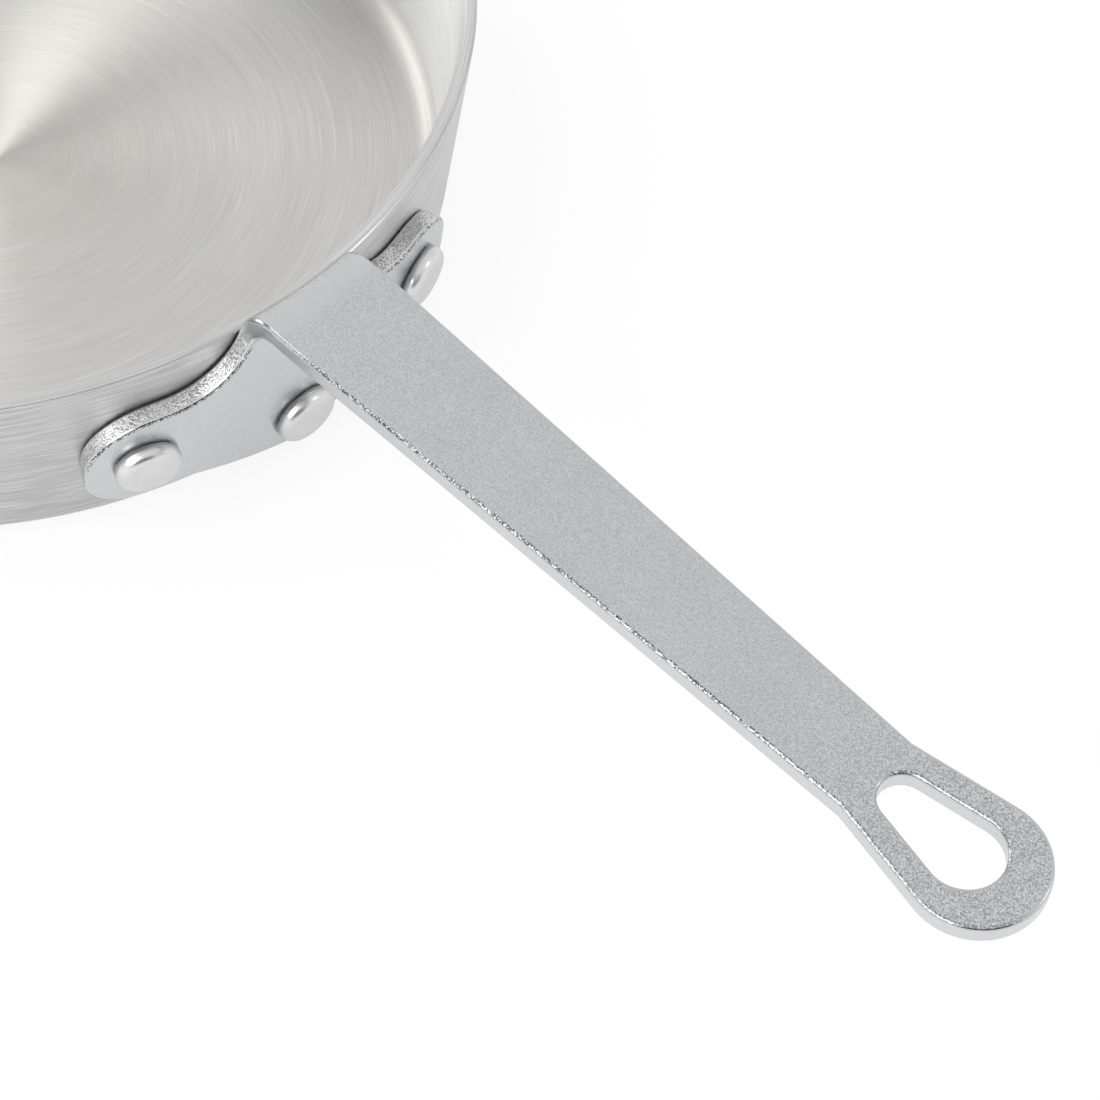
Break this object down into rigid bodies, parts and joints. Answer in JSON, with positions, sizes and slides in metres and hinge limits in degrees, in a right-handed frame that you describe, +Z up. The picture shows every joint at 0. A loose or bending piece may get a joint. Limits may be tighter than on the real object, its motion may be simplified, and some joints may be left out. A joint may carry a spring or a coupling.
{
  "type": "saute pan",
  "caption": "Round low-walled saute pan of bare aluminium with a flat plated steel strap handle riveted to its leaning wall, for frying and sauteing on a stove.",
  "frame": {"origin": "centre of the flat underside of the base, on the pan's axis", "axes": "+Z up along the pan's axis, +X along the handle towards its eye, +Y to the left of someone looking along the handle away from the pan"},
  "size_m": [0.447, 0.2398, 0.0655],
  "materials": {
    "pan_aluminium": "bare, with fine turning lines round the axis, satin",
    "plated_steel": "dull bright plating with a fine pebbled grain, sparkling on the sheared edges",
    "rivet_aluminium": "satin, smooth from the rivet set"
  },
  "bodies": {
    "root": {"pan_body": "pan_aluminium", "handle": "plated_steel", "rivet_left": "rivet_aluminium", "rivet_centre": "rivet_aluminium", "rivet_right": "rivet_aluminium"}
  },
  "joints": []
}
